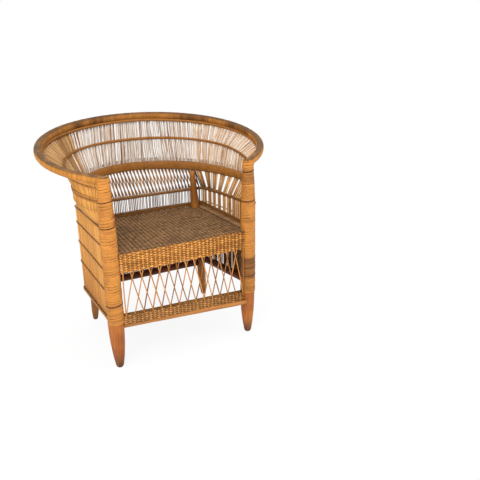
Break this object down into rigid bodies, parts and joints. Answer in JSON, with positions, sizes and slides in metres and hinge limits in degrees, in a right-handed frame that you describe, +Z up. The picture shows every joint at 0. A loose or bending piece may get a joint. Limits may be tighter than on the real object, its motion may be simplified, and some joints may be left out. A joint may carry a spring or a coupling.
{
  "type": "cane tub armchair",
  "caption": "Cane tub armchair: pole legs, woven seat and a flared wall of reeds held by hoops under a wound rim.",
  "frame": {"origin": "on the floor, below the middle of the bounding box", "axes": "+Z up, +X to the viewer's right when the viewer faces the front, +Y to the back"},
  "size_m": [0.8444, 0.568, 0.8162],
  "materials": {
    "post_wood": "natural cane or peeled pole, satin",
    "pole_wood": "natural cane or peeled pole, satin",
    "batten_cane": "natural cane or peeled pole, satin",
    "post_wrap_cane": "natural cane or peeled pole, satin",
    "rim_wrap_cane": "natural cane or peeled pole, satin",
    "rim_core_cane": "natural cane or peeled pole, satin",
    "hoop_cane": "natural cane or peeled pole, satin",
    "outer_band_cane": "natural cane or peeled pole, satin",
    "wall_reed": "natural cane or peeled pole, satin",
    "crossed_reed": "natural cane or peeled pole, satin",
    "flare_reed": "natural cane or peeled pole, satin",
    "seat_weave_cane": "natural cane or peeled pole, satin",
    "apron_weave_cane": "natural cane or peeled pole, satin",
    "lattice_cane": "natural cane or peeled pole, satin"
  },
  "bodies": {
    "root": {"back_crossed_reeds": "crossed_reed", "back_flare_reeds": "flare_reed", "back_wall_reeds": "wall_reed", "bottom_binding": "outer_band_cane", "front_apron": "apron_weave_cane", "front_batten": "batten_cane", "front_lattice": "lattice_cane", "front_left_post": "post_wood", "front_left_wrap": "post_wrap_cane", "front_lower_band": "apron_weave_cane", "front_right_post": "post_wood", "front_right_wrap": "post_wrap_cane", "front_seat_rail": "pole_wood", "front_stretcher": "pole_wood", "left_crossed_reeds": "crossed_reed", "left_flare_reeds": "flare_reed", "left_rim_strap": "post_wrap_cane", "left_seat_rail": "pole_wood", "left_stretcher": "pole_wood", "left_wall_reeds": "wall_reed", "low_inner_band": "hoop_cane", "low_outer_band": "outer_band_cane", "middle_outer_band": "outer_band_cane", "rear_left_post": "post_wood", "rear_right_post": "post_wood", "rear_seat_rail": "pole_wood", "rear_stretcher": "pole_wood", "right_crossed_reeds": "crossed_reed", "right_flare_reeds": "flare_reed", "right_rim_strap": "post_wrap_cane", "right_seat_rail": "pole_wood", "right_stretcher": "pole_wood", "right_wall_reeds": "wall_reed", "rim_core": "rim_core_cane", "rim_inner_hoop": "hoop_cane", "rim_wrap": "rim_wrap_cane", "seat_inner_band": "hoop_cane", "seat_outer_band": "outer_band_cane", "seat_stakes": "pole_wood", "seat_weave": "seat_weave_cane", "under_outer_band": "outer_band_cane", "upper_inner_hoop": "hoop_cane", "upper_outer_hoop": "outer_band_cane", "waist_band": "hoop_cane", "waist_outer_hoop": "outer_band_cane"}
  },
  "joints": []
}
